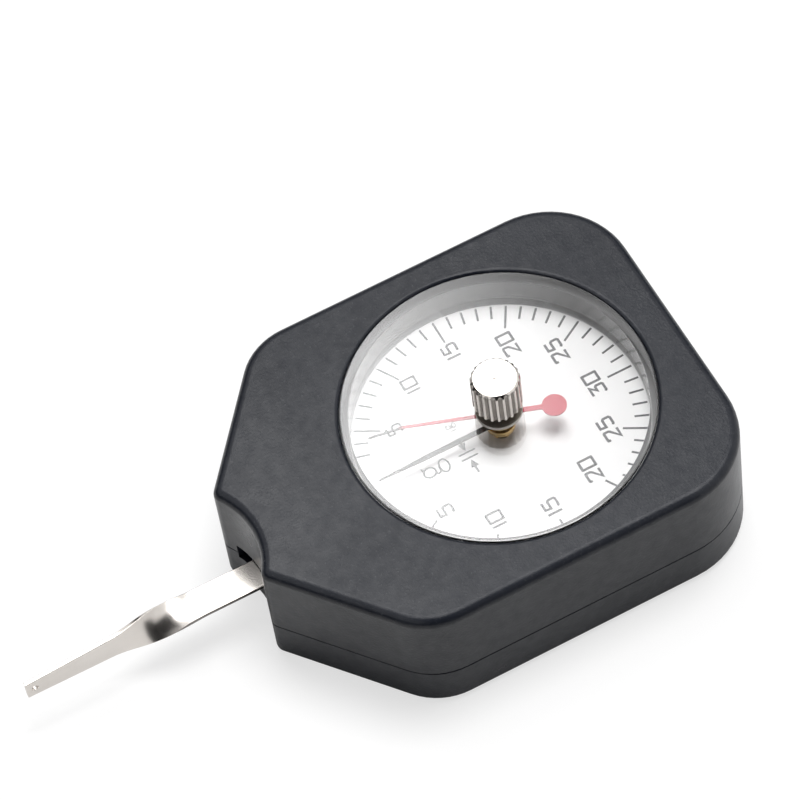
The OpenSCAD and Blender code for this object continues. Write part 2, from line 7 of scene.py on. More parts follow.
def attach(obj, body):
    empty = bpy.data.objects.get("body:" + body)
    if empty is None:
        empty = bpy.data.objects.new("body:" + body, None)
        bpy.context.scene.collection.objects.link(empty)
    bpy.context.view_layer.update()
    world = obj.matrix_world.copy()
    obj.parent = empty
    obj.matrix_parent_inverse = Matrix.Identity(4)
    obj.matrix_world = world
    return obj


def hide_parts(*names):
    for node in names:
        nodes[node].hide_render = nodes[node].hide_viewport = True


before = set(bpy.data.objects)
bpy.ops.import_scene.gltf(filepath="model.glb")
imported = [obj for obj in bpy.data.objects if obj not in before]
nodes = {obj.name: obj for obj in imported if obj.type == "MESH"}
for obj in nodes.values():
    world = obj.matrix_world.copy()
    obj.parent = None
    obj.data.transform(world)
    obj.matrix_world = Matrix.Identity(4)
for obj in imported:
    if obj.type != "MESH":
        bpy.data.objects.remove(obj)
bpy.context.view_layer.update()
mm = 0.001  # pieces are modelled in millimetres and scaled down when they are finished
print("frame loaded,", len(nodes), "CAD nodes")


# shared modelling steps: gaps in mm that count as one point, degrees that count as flat

modelling = {"turnedGap": 0.003, "copiedGap": 0.001, "flatAngle": 0.4, "softSteps": 2}


def activate(piece):
    if bpy.context.object and bpy.context.object.mode != "OBJECT":
        bpy.ops.object.mode_set(mode="OBJECT")
    bpy.ops.object.select_all(action="DESELECT")
    piece.select_set(True)
    bpy.context.view_layer.objects.active = piece


def startClean():
    bpy.ops.object.select_all(action="DESELECT")


def editAll(piece):
    # edit mode, with everything selected
    activate(piece)
    bpy.ops.object.mode_set(mode="EDIT")
    bpy.ops.mesh.select_all(action="SELECT")


def leaveEdit():
    bpy.ops.object.mode_set(mode="OBJECT")


def clearPick(piece, kind):
    activate(piece)
    bpy.ops.object.mode_set(mode="EDIT")
    bpy.ops.mesh.select_mode(type=kind)
    bpy.ops.mesh.select_all(action="DESELECT")
    leaveEdit()


def pickEdges(piece, test):
    # leaves edit mode on, with the edges selected whose two ends pass the test
    clearPick(piece, "EDGE")
    points = piece.data.vertices
    for edge in piece.data.edges:
        edge.select = test(points[edge.vertices[0]].co, points[edge.vertices[1]].co)
    bpy.ops.object.mode_set(mode="EDIT")


def pickFaces(piece, test):
    # the same for faces, by centre and normal
    clearPick(piece, "FACE")
    for face in piece.data.polygons:
        face.select = test(face.center, face.normal)
    bpy.ops.object.mode_set(mode="EDIT")


def closeUp(piece):
    # merges doubled points and turns every face outwards
    editAll(piece)
    bpy.ops.mesh.remove_doubles(threshold=modelling["turnedGap"])
    bpy.ops.mesh.normals_make_consistent(inside=False)
    leaveEdit()


def softenEdges(piece, width, angle):
    activate(piece)
    bevel = piece.modifiers.new("softEdges", "BEVEL")
    bevel.width = width
    bevel.segments = modelling["softSteps"]
    bevel.limit_method = "ANGLE"
    bevel.angle_limit = math.radians(angle)
    bpy.ops.object.modifier_apply(modifier=bevel.name)


def smoothFaces(piece, angle):
    activate(piece)
    bpy.ops.object.shade_smooth_by_angle(angle=math.radians(angle))
    even = piece.modifiers.new("evenNormals", "WEIGHTED_NORMAL")
    even.keep_sharp = True
    bpy.ops.object.modifier_apply(modifier=even.name)


def addRod(radius, depth, at, sides, turn=(0, 0, 0)):
    startClean()
    bpy.ops.mesh.primitive_cylinder_add(vertices=sides, radius=radius, depth=depth, location=at, rotation=turn)
    return bpy.context.object


def cutAway(piece, cutter, operation="DIFFERENCE"):
    activate(piece)
    cut = piece.modifiers.new("cut", "BOOLEAN")
    cut.operation = operation
    cut.solver = "EXACT"
    cut.object = cutter
    bpy.ops.object.modifier_apply(modifier=cut.name)
    bpy.data.objects.remove(cutter)


def drawUp(piece, thick):
    # gives a flat piece its thickness
    editAll(piece)
    bpy.ops.mesh.extrude_region_move(TRANSFORM_OT_translate={"value": (0, 0, thick)})
    bpy.ops.mesh.select_all(action="SELECT")
    bpy.ops.mesh.normals_make_consistent(inside=False)
    leaveEdit()


def ringStack(name, rings, sides):
    # turned piece: a circle, pulled from ring to ring as (radius, height)
    startClean()
    bpy.ops.mesh.primitive_circle_add(vertices=sides, radius=rings[0][0], location=(0, 0, rings[0][1]))
    piece = bpy.context.object
    piece.name = name
    editAll(piece)
    for (r0, z0), (r1, z1) in zip(rings, rings[1:]):
        bpy.ops.mesh.extrude_region_move(TRANSFORM_OT_translate={"value": (0, 0, z1 - z0)})
        bpy.ops.transform.resize(value=(r1 / r0, r1 / r0, 1), center_override=(0, 0, 0))
    leaveEdit()
    bpy.ops.object.transform_apply(location=True, rotation=True, scale=True)
    closeUp(piece)
    return piece


def copyOfNode(nodeName, name):
    # a merged copy of a CAD mesh, in millimetres, flat faces joined up
    mesh = nodes[nodeName].data.copy()
    mesh.transform(Matrix.Scale(1 / mm, 4))
    piece = bpy.data.objects.new(name, mesh)
    bpy.context.scene.collection.objects.link(piece)
    editAll(piece)
    bpy.ops.mesh.remove_doubles(threshold=modelling["copiedGap"])
    bpy.ops.mesh.dissolve_limited(angle_limit=math.radians(modelling["flatAngle"]))
    leaveEdit()
    return piece


def finishPiece(piece, finish, body, slotName, *replaced):
    activate(piece)
    bpy.ops.object.transform_apply(location=True, rotation=True, scale=True)
    piece.data.transform(Matrix.Scale(mm, 4))
    piece.data.materials.clear()
    piece.data.materials.append(finish)
    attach(piece, body)
    if replaced:
        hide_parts(*replaced)
    print("piece", piece.name, len(piece.data.polygons), "faces")
    return piece


# shader steps and the surface effects that several finishes share

noiseSpan = (0.3, 0.7)  # most of a noise value lies in here


def feed(tree, value, target):
    # links a socket, or sets a number
    if isinstance(value, bpy.types.NodeSocket):
        tree.links.new(value, target)
    else:
        target.default_value = value


def maths(tree, operation, *values):
    node = tree.nodes.new("ShaderNodeMath")
    node.operation = operation
    for value, target in zip(values, node.inputs):
        feed(tree, value, target)
    return node.outputs["Value"]


def stretch(tree, value, low, high, outLow=0.0, outHigh=1.0):
    # spreads the part of a value between low and high over the new range
    node = tree.nodes.new("ShaderNodeMapRange")
    node.inputs["From Min"].default_value = low
    node.inputs["From Max"].default_value = high
    node.inputs["To Min"].default_value = outLow
    node.inputs["To Max"].default_value = outHigh
    tree.links.new(value, node.inputs["Value"])
    return node.outputs["Result"]


def spreadTo(tree, mask, span, socket):
    # runs a socket over the span as the mask goes from 0 to 1
    tree.links.new(stretch(tree, mask, 0, 1, *span), socket)


def objectPlace(tree):
    return tree.nodes.new("ShaderNodeTexCoord").outputs["Object"]


def splitPlace(tree):
    split = tree.nodes.new("ShaderNodeSeparateXYZ")
    tree.links.new(objectPlace(tree), split.inputs["Vector"])
    return split.outputs


def noiseOf(tree, vector, scale, detail, roughness=0.55):
    node = tree.nodes.new("ShaderNodeTexNoise")
    node.inputs["Detail"].default_value = detail
    node.inputs["Roughness"].default_value = roughness
    tree.links.new(scale, node.inputs["Scale"])
    tree.links.new(vector, node.inputs["Vector"])
    return node.outputs["Fac"]


def newGroup(name, inputs, outputs):
    group = bpy.data.node_groups.new(name, "ShaderNodeTree")
    for label, value in inputs.items():
        socket = group.interface.new_socket(name=label, in_out="INPUT", socket_type="NodeSocketFloat")
        socket.default_value = value
    for label in outputs:
        group.interface.new_socket(name=label, in_out="OUTPUT", socket_type="NodeSocketFloat")
    source = group.nodes.new("NodeGroupInput")
    sink = group.nodes.new("NodeGroupOutput")
    return group, source, sink


def makeMouldGrain():
    # fine spark grain of a moulding, with slow changes of tone
    speckSpan = (0.62, 0.72)
    group, source, sink = newGroup("mouldGrain", {"Grain": 4200, "Tone": 70}, ["Height", "Tone", "Speck"])
    place = objectPlace(group)
    fine = noiseOf(group, place, source.outputs["Grain"], 2)
    slow = noiseOf(group, place, source.outputs["Tone"], 4)
    group.links.new(stretch(group, fine, *noiseSpan), sink.inputs["Height"])
    group.links.new(stretch(group, slow, *noiseSpan), sink.inputs["Tone"])
    group.links.new(stretch(group, fine, *speckSpan), sink.inputs["Speck"])
    return group


def makeRubMarks():
    # soft patches where fingers and cloths have been
    patchSpan = (0.42, 0.68)
    group, source, sink = newGroup("rubMarks", {"Size": 45}, ["Mask"])
    patch = noiseOf(group, objectPlace(group), source.outputs["Size"], 6, 0.6)
    group.links.new(stretch(group, patch, *patchSpan), sink.inputs["Mask"])
    return group


def makeDrawLines():
    # fine lines along Y, from drawing and polishing
    lineSqueeze = (1, 0.015, 1)
    group, source, sink = newGroup("drawLines", {"Lines": 9000}, ["Height"])
    squeeze = group.nodes.new("ShaderNodeMapping")
    squeeze.inputs["Scale"].default_value = lineSqueeze
    group.links.new(objectPlace(group), squeeze.inputs["Vector"])
    lines = noiseOf(group, squeeze.outputs["Vector"], source.outputs["Lines"], 3)
    group.links.new(stretch(group, lines, *noiseSpan), sink.inputs["Height"])
    return group


def makeAxisReach():
    # distance from the dial axis
    group, source, sink = newGroup("axisReach", {}, ["Reach"])
    flat = group.nodes.new("ShaderNodeVectorMath")
    flat.operation = "MULTIPLY"
    flat.inputs[1].default_value = (1, 1, 0)
    group.links.new(objectPlace(group), flat.inputs[0])
    reach = group.nodes.new("ShaderNodeVectorMath")
    reach.operation = "LENGTH"
    group.links.new(flat.outputs["Vector"], reach.inputs[0])
    group.links.new(reach.outputs["Value"], sink.inputs["Reach"])
    return group


def makeTurnLines(axisReach):
    # rings left by a lathe tool round the dial axis
    group, source, sink = newGroup("turnLines", {"Lines": 16000}, ["Height"])
    reach = group.nodes.new("ShaderNodeGroup")
    reach.node_tree = axisReach
    rings = group.nodes.new("ShaderNodeTexNoise")
    rings.noise_dimensions = "1D"
    rings.inputs["Detail"].default_value = 3
    group.links.new(reach.outputs["Reach"], rings.inputs["W"])
    group.links.new(source.outputs["Lines"], rings.inputs["Scale"])
    group.links.new(stretch(group, rings.outputs["Fac"], *noiseSpan), sink.inputs["Height"])
    return group


effects = {
    "mouldGrain": makeMouldGrain(),
    "rubMarks": makeRubMarks(),
    "drawLines": makeDrawLines(),
    "axisReach": makeAxisReach(),
}
effects["turnLines"] = makeTurnLines(effects["axisReach"])
print("surface effects made")


# finishes; in each look, patch is the scale of its rub marks and relief the bump's strength and depth

def newFinish(name):
    finish = bpy.data.materials.new(name)
    finish.use_nodes = True
    tree = finish.node_tree
    shader = tree.nodes["Principled BSDF"]
    return finish, tree, shader


def addEffect(tree, name, **values):
    node = tree.nodes.new("ShaderNodeGroup")
    node.node_tree = effects[name]
    for label, value in values.items():
        node.inputs[label].default_value = value
    return node


def mixColours(tree, mask, first, second, socket):
    node = tree.nodes.new("ShaderNodeMix")
    node.data_type = "RGBA"
    node.inputs["A"].default_value = (*first, 1)
    node.inputs["B"].default_value = (*second, 1)
    for source, target in ((mask, node.inputs["Factor"]), (node.outputs["Result"], socket)):
        tree.links.new(source, target)
    return node


def addBump(tree, height, relief, shader):
    node = tree.nodes.new("ShaderNodeBump")
    node.inputs["Strength"].default_value, node.inputs["Distance"].default_value = relief
    tree.links.new(height, node.inputs["Height"])
    tree.links.new(node.outputs["Normal"], shader.inputs["Normal"])


def makeCasePlastic():
    # moulded plastic, smoother where it has been rubbed
    look = {"dark": (0.006, 0.0075, 0.0125), "pale": (0.0115, 0.0135, 0.0195), "speck": (0.025, 0.027, 0.033),
        "rough": (0.35, 0.27), "gloss": (0.29, 0.385), "grain": 2700, "mottle": 620, "patch": 38,
        "relief": (0.33, 3e-5)}
    finish, tree, shader = newFinish("casePlastic")
    grain = addEffect(tree, "mouldGrain", Grain=look["grain"])
    mottle = addEffect(tree, "mouldGrain", Grain=look["mottle"])
    rub = addEffect(tree, "rubMarks", Size=look["patch"])
    speck = mixColours(tree, grain.outputs["Speck"], look["dark"], look["speck"], shader.inputs["Base Color"])
    mixColours(tree, grain.outputs["Tone"], look["dark"], look["pale"], speck.inputs["A"])
    spreadTo(tree, mottle.outputs["Height"], look["gloss"], shader.inputs["Specular IOR Level"])
    spreadTo(tree, rub.outputs["Mask"], look["rough"], shader.inputs["Roughness"])
    addBump(tree, grain.outputs["Height"], look["relief"], shader)
    return finish


def makeMetal(name, look):
    # bare metal; lines is the effect that its making left on it
    finish, tree, shader = newFinish(name)
    shader.inputs["Metallic"].default_value = 1
    lines = addEffect(tree, look["lines"]).outputs["Height"]
    rub = addEffect(tree, "rubMarks", Size=look["patch"])
    mixColours(tree, rub.outputs["Mask"], look["bright"], look["dull"], shader.inputs["Base Color"])
    spreadTo(tree, lines, look["rough"], shader.inputs["Roughness"])
    addBump(tree, lines, look["relief"], shader)
    return finish


def makeRubbedShadedNickel(name, look):
    # turned plating, bright where fingers rub it, with painted shade in the dark inner colour inside the rim and
    # below the face height
    finish, tree, shader = newFinish(name)
    shader.inputs["Metallic"].default_value = look["metal"]
    lines = addEffect(tree, "turnLines").outputs["Height"]
    rub = addEffect(tree, "rubMarks", Size=look["patch"])
    # painted shade: inside the rim and below the face height the plating takes the inner colour, for the shade
    # under the knob and on the bush flange
    rim = stretch(tree, addEffect(tree, "axisReach").outputs["Reach"], *look["rim"])
    face = stretch(tree, splitPlace(tree)["Z"], *look["face"])
    unshaded = maths(tree, "MAXIMUM", rim, face)
    inner = mixColours(tree, unshaded, look["inner"], look["bright"], shader.inputs["Base Color"])
    mixColours(tree, rub.outputs["Mask"], look["bright"], look["dull"], inner.inputs["B"])
    spreadTo(tree, lines, look["rough"], shader.inputs["Roughness"])
    addBump(tree, lines, look["relief"], shader)
    return finish


def makeStripNickel():
    # bright plating with fine grain, darker along its two long edges
    look = {"bright": (0.74, 0.7, 0.66), "dull": (0.68, 0.64, 0.6), "edge": (0.24, 0.225, 0.21),
        "edgeSpan": (0.00207, 0.00213), "rough": (0.19, 0.27), "grain": 6500, "patch": 120,
        "relief": (0.12, 6e-6)}
    finish, tree, shader = newFinish("stripNickel")
    shader.inputs["Metallic"].default_value = 1
    grain = addEffect(tree, "mouldGrain", Grain=look["grain"])
    rub = addEffect(tree, "rubMarks", Size=look["patch"])
    # the colour turns darker beyond this distance from the strip's middle
    edgeBand = stretch(tree, maths(tree, "ABSOLUTE", splitPlace(tree)["X"]), *look["edgeSpan"])
    edge = mixColours(tree, edgeBand, look["bright"], look["edge"], shader.inputs["Base Color"])
    mixColours(tree, rub.outputs["Mask"], look["bright"], look["dull"], edge.inputs["A"])
    spreadTo(tree, rub.outputs["Mask"], look["rough"], shader.inputs["Roughness"])
    addBump(tree, grain.outputs["Height"], look["relief"], shader)
    return finish


def makeDialWhite():
    # white enamel, with a grey ring of painted shade under the crystal's wall and foot
    look = {"white": (0.845, 0.84, 0.84), "shade": (0.815, 0.81, 0.81), "ring": (0.36, 0.36, 0.365),
        "shadeRingSpan": (0.0201, 0.0205), "rough": (0.42, 0.55), "grain": 9000, "tone": 160, "relief": (0.1, 3e-6)}
    finish, tree, shader = newFinish("dialWhite")
    grain = addEffect(tree, "mouldGrain", Grain=look["grain"], Tone=look["tone"])
    # painted shade: beyond this reach the enamel turns grey, for the shade that the crystal's wall and bezel cast
    foot = stretch(tree, addEffect(tree, "axisReach").outputs["Reach"], *look["shadeRingSpan"])
    ring = mixColours(tree, foot, look["white"], look["ring"], shader.inputs["Base Color"])
    mixColours(tree, grain.outputs["Tone"], look["white"], look["shade"], ring.inputs["A"])
    spreadTo(tree, grain.outputs["Height"], look["rough"], shader.inputs["Roughness"])
    addBump(tree, grain.outputs["Height"], look["relief"], shader)
    return finish


def makeLacquer(name, look):
    # paint, print or the dark sleeve of painted gap shade; a look with a tip turns grey from that reach on
    film = {"grain": 7000, "tone": 300, "relief": (0.15, 4e-6)}
    finish, tree, shader = newFinish(name)
    grain = addEffect(tree, "mouldGrain", Grain=film["grain"], Tone=film["tone"])
    paint = shader.inputs["Base Color"]
    if "tip" in look:
        greyTip = stretch(tree, addEffect(tree, "axisReach").outputs["Reach"], *look["tipSpan"])
        paint = mixColours(tree, greyTip, look["deep"], look["tip"], paint).inputs["A"]
    mixColours(tree, grain.outputs["Tone"], look["deep"], look["thin"], paint)
    spreadTo(tree, grain.outputs["Height"], look["rough"], shader.inputs["Roughness"])
    addBump(tree, grain.outputs["Height"], film["relief"], shader)
    return finish


def makeCrystalClear():
    # clear window, wiped here and there, with a satin side wall that mirrors less
    look = {"tint": (0.98, 0.98, 0.98), "pass": (0.95, 0.95, 0.95), "bend": 1.49, "patch": 90, "wiped": (0.0, 0.02),
        "satin": 0.2, "shine": (0.04, 0.04, 0.05), "wallSpan": (0.02018, 0.02028), "faceSpan": (0.0205, 0.0206)}
    finish, tree, shader = newFinish("crystalClear")
    shader.inputs["Base Color"].default_value = (*look["tint"], 1)
    shader.inputs["Transmission Weight"].default_value = 1
    shader.inputs["IOR"].default_value = look["bend"]
    rub = addEffect(tree, "rubMarks", Size=look["patch"])
    outside = stretch(tree, addEffect(tree, "axisReach").outputs["Reach"], *look["wallSpan"])
    below = stretch(tree, splitPlace(tree)["Z"], *look["faceSpan"], 1, 0)
    wall = maths(tree, "MULTIPLY", outside, below)
    mixColours(tree, wall, (1, 1, 1), look["shine"], shader.inputs["Specular Tint"])
    wiped = stretch(tree, rub.outputs["Mask"], 0, 1, *look["wiped"])
    tree.links.new(maths(tree, "MULTIPLY_ADD", wall, look["satin"], wiped), shader.inputs["Roughness"])
    # lamps and soft light reach the dial through the window
    openWay = tree.nodes.new("ShaderNodeBsdfTransparent")
    openWay.inputs["Color"].default_value = (*look["pass"], 1)
    rays = tree.nodes.new("ShaderNodeLightPath").outputs
    blend = tree.nodes.new("ShaderNodeMixShader")
    tree.links.new(maths(tree, "MAXIMUM", rays["Is Shadow Ray"], rays["Is Diffuse Ray"]), blend.inputs["Fac"])
    tree.links.new(shader.outputs["BSDF"], blend.inputs[1])
    tree.links.new(openWay.outputs["BSDF"], blend.inputs[2])
    tree.links.new(blend.outputs["Shader"], tree.nodes["Material Output"].inputs["Surface"])
    return finish


finishes = {
    "case": makeCasePlastic(),
    "crystal": makeCrystalClear(),
    "dial": makeDialWhite(),
    "strip": makeStripNickel(),
    # the inner colours are painted shade, under the knob and on the bush flange beneath it
    "knob": makeRubbedShadedNickel("knobNickel", {"bright": (0.74, 0.7, 0.66), "dull": (0.64, 0.6, 0.56),
        "inner": (0.22, 0.2, 0.18), "metal": 1, "rim": (0.00322, 0.00338), "face": (0.0267, 0.027),
        "rough": (0.12, 0.2), "patch": 260, "relief": (0.1, 4e-6)}),
    "bush": makeRubbedShadedNickel("bushNickel", {"bright": (0.66, 0.63, 0.59), "dull": (0.58, 0.55, 0.51),
        "inner": (0.38, 0.335, 0.28), "metal": 0.3, "rim": (0.00319, 0.00323), "face": (0.03, 0.031),
        "rough": (0.4, 0.55), "patch": 260, "relief": (0.1, 4e-6)}),
    "brass": makeMetal("turnedBrass", {"bright": (0.78, 0.57, 0.26), "dull": (0.62, 0.44, 0.19),
        "rough": (0.16, 0.3), "lines": "turnLines", "patch": 200, "relief": (0.2, 4e-6)}),
    "steel": makeMetal("bareSteel", {"bright": (0.56, 0.565, 0.57), "dull": (0.42, 0.42, 0.425),
        "rough": (0.18, 0.34), "lines": "drawLines", "patch": 150, "relief": (0.2, 4e-6)}),
    "black": makeLacquer("pointerBlack", {"deep": (0.009, 0.009, 0.01), "thin": (0.018, 0.018, 0.019),
        "rough": (0.3, 0.42)}),
    "ink": makeLacquer("dialInk", {"deep": (0.028, 0.028, 0.031), "thin": (0.055, 0.055, 0.059),
        "rough": (0.4, 0.55)}),
    # painted shade: a dark sleeve in the gap round the crystal
    "gapShade": makeLacquer("gapShadeBlack", {"deep": (0.016, 0.0165, 0.018), "thin": (0.026, 0.0265, 0.028),
        "rough": (0.5, 0.65)}),
    "red": makeLacquer("pointerRed", {"deep": (0.4, 0.016, 0.04), "thin": (0.47, 0.03, 0.06),
        "rough": (0.28, 0.4), "tip": (0.13, 0.125, 0.13), "tipSpan": (0.0126, 0.0138)}),
}
print("finishes made")


# case shells: the CAD solids' own forms, with smooth faces

shells = {"frontShell": "front_case", "rearShell": "rear_cover"}
for shellName, nodeName in shells.items():
    shell = copyOfNode(nodeName, shellName)
    smoothFaces(shell, 32)
    finishPiece(shell, finishes["case"], "case", "case_plastic", nodeName)


# crystal: a cup with a flange at its foot and a hole for the bush

crystal = {"hole": 1.92, "inner": 20.3, "outer": 21.3, "flange": 22.5, "foot": 13.7, "flangeTop": 14.7,
    "under": 19.25, "top": 20.75, "bevel": 0.12, "sides": 288}


def makeCrystal(c):
    rings = [(c["hole"], c["top"]), (c["hole"], c["under"]), (c["inner"], c["under"]), (c["inner"], c["foot"]),
        (c["flange"], c["foot"]), (c["flange"], c["flangeTop"]), (c["outer"], c["flangeTop"]),
        (c["outer"], c["top"] - c["bevel"]), (c["outer"] - c["bevel"], c["top"]), (c["hole"], c["top"])]
    piece = ringStack("crystalCup", rings, c["sides"])
    smoothFaces(piece, 20)
    finishPiece(piece, finishes["crystal"], "case", "crystal_clear", "crystal")


makeCrystal(crystal)


# gap shade: a thin dark sleeve between the crystal and its bore, painted shade for the dark gap there

gapShade = {"inner": 21.34, "outer": 21.44, "low": 14.76, "high": 19.4, "sides": 192}


def makeGapShade(s):
    rings = [(s["inner"], s["low"]), (s["outer"], s["low"]), (s["outer"], s["high"]), (s["inner"], s["high"]),
        (s["inner"], s["low"])]
    piece = ringStack("crystalGapShade", rings, s["sides"])
    smoothFaces(piece, 30)
    finishPiece(piece, finishes["gapShade"], "case", "case_plastic")


makeGapShade(gapShade)


# turned fittings under and through the crystal

fitting = {"sides": 96, "round": 0.06}
turned = {
    "bushRing": ("knob_bush", "bush", "case", "nickel_plate", [(1.24, 18.7), (3.25, 18.7), (3.25, 19.25),
        (1.9, 19.25), (1.9, 21.5), (1.24, 21.5), (1.24, 18.7)]),
    "pointerBoss": ("pointer_hub", "brass", "measuring_pointer", "brass_parts", [(0.62, 14.9), (2, 14.9),
        (2, 15.8), (0.62, 15.8), (0.62, 14.9)]),
    "dragBoss": ("red_pointer_hub", "brass", "drag_pointer", "brass_parts", [(0.82, 17.05), (2.3, 17.05),
        (2.3, 17.75), (1.6, 17.75), (1.6, 18.3), (0.82, 18.3), (0.82, 17.05)]),
}
for pieceName, (nodeName, finishName, body, slotName, rings) in turned.items():
    piece = ringStack(pieceName, rings, fitting["sides"])
    softenEdges(piece, fitting["round"], 40)
    smoothFaces(piece, 35)
    finishPiece(piece, finishes[finishName], body, slotName, nodeName)


# reset knob: turned with its spindle, then the flutes are drawn in all round

knob = {"flutes": 22, "perFlute": 14, "radius": 3.4, "fluteRadius": 0.36, "fluteOut": 0.108,
    "low": 21.6, "top": 27.2, "bevel": 0.45, "bevelSteps": 5, "faceStep": 0.06, "round": 0.06,
    "spindle": [(0.002, 17.15), (0.8, 17.15), (0.8, 18.3), (1.2, 18.3), (1.2, 21.6)],
    "centreMark": [(0.3, 0), (0.2, 0.03), (0.002, 0.05)]}  # radius and depth


def fluteReach(angle, k):
    # radius of the fluted rim at that angle
    step = 2 * math.pi / k["flutes"]
    off = (angle + step / 2) % step - step / 2
    centre = k["radius"] + k["fluteOut"]
    across = centre * math.sin(off)
    if abs(across) >= k["fluteRadius"]:
        return k["radius"]
    return min(k["radius"], centre * math.cos(off) - math.sqrt(k["fluteRadius"] ** 2 - across ** 2))


def makeKnob(k):
    top, bevel, radius = k["top"], k["bevel"], k["radius"]
    rings = k["spindle"] + [(radius - bevel, k["low"]), (radius, k["low"]), (radius, top - bevel)]
    for share in [(i + 1) / k["bevelSteps"] for i in range(k["bevelSteps"])]:
        rings.append((radius - bevel * share, top - bevel * (1 - share)))
    rings.append((radius - bevel - k["faceStep"], top))
    rings += [(reach, top - deep) for reach, deep in k["centreMark"]]
    piece = ringStack("fluteKnob", rings, k["flutes"] * k["perFlute"])
    for point in piece.data.vertices:
        reach = math.hypot(point.co.x, point.co.y)
        if reach > radius - bevel:
            kept = min(1, fluteReach(math.atan2(point.co.y, point.co.x), k) / reach)
            point.co.x *= kept
            point.co.y *= kept
    softenEdges(piece, k["round"], 50)
    smoothFaces(piece, 30)
    finishPiece(piece, finishes["knob"], "drag_pointer", "nickel_plate", "reset_knob")


makeKnob(knob)


# feeler: a strip pulled along, turned a quarter and drawn down to the tip

feeler = {"width": 4.4, "thick": 0.6, "midZ": 8.538, "pivotY": 25.2, "eye": 3.3, "eyeSides": 64, "eyeHole": 1.27,
    "twistFrom": 46.0, "twistTo": 60.0, "twistSteps": 56, "tipY": 72.45, "tipWidth": 3.2, "tipTop": 1.2,
    "tipRound": 0.22, "bladeSteps": 8, "cuts": 7, "holeY": 71.2, "holeRadius": 0.5, "holeSides": 48,
    "edge": 0.09, "roundSteps": 3}


def taperShare(y, f):
    return max(0, (y - f["twistTo"]) / (f["tipY"] - f["twistTo"]))


def bladeWidth(y, f):
    return f["width"] + (f["tipWidth"] - f["width"]) * taperShare(y, f)


def twistShare(y, f):
    u = min(max((y - f["twistFrom"]) / (f["twistTo"] - f["twistFrom"]), 0), 1)
    return u * u * (3 - 2 * u)


def bladeMid(y, f):
    return f["midZ"] + (f["tipTop"] - f["tipWidth"] / 2) * taperShare(y, f)


def evenStations(start, end, steps):
    return [start + (end - start) * i / steps for i in range(1, steps + 1)]


def makeFeeler(f):
    startClean()
    bpy.ops.mesh.primitive_cube_add(size=1, location=(0, (f["pivotY"] + f["twistFrom"]) / 2, f["midZ"]),
        scale=(f["width"], f["twistFrom"] - f["pivotY"], f["thick"]))
    piece = bpy.context.object
    piece.name = "feelerStrip"
    bpy.ops.object.transform_apply(location=True, rotation=True, scale=True)
    pickEdges(piece, lambda a, b: abs(a.y - b.y) > 1)  # the four long edges
    bpy.ops.mesh.bevel(offset=f["edge"], segments=f["roundSteps"], affect="EDGES")
    pickEdges(piece, lambda a, b: abs(a.x - b.x) > f["width"] / 2)  # across, so that the twist shades evenly
    bpy.ops.mesh.subdivide(number_cuts=f["cuts"])
    pickFaces(piece, lambda centre, normal: normal.y > 0.9)
    stations = [f["twistFrom"]] + evenStations(f["twistFrom"], f["twistTo"], f["twistSteps"])
    stations += evenStations(f["twistTo"], f["tipY"], f["bladeSteps"])
    for y0, y1 in zip(stations, stations[1:]):
        rise = bladeMid(y1, f) - bladeMid(y0, f)
        bpy.ops.mesh.extrude_region_move(TRANSFORM_OT_translate={"value": (0, y1 - y0, rise)})
        turn = math.pi / 2 * (twistShare(y1, f) - twistShare(y0, f))
        middle = (0, y1, bladeMid(y1, f))
        if turn:
            bpy.ops.transform.rotate(value=turn, orient_axis="Y", center_override=middle)
        shrink = bladeWidth(y1, f) / bladeWidth(y0, f)
        if shrink != 1:
            bpy.ops.transform.resize(value=(1, 1, shrink), center_override=middle)
    leaveEdit()
    tipMid = bladeMid(f["tipY"], f)
    # the upper and lower corner of the tip
    pickEdges(piece, lambda a, b: min(a.y, b.y) > f["tipY"] - 0.01 and abs(a.x - b.x) > f["thick"] / 2
        and min(abs(a.z - tipMid), abs(b.z - tipMid)) > f["tipWidth"] / 2 - 0.02)
    bpy.ops.mesh.bevel(offset=f["tipRound"], segments=f["roundSteps"], affect="EDGES")
    leaveEdit()
    eyeAt = (0, f["pivotY"], f["midZ"])
    cutAway(piece, addRod(f["eye"], f["thick"], eyeAt, f["eyeSides"]), "UNION")
    cutAway(piece, addRod(f["eyeHole"], 5 * f["thick"], eyeAt, f["holeSides"]))
    holeAt = (0, f["holeY"], bladeMid(f["holeY"], f))
    cutAway(piece, addRod(f["holeRadius"], 5 * f["thick"], holeAt, f["holeSides"], (0, math.pi / 2, 0)))
    smoothFaces(piece, 40)
    finishPiece(piece, finishes["strip"], "feeler_lever", "nickel_plate", "feeler")


makeFeeler(feeler)


# print on the dial: strokes of one width, a hair above the enamel

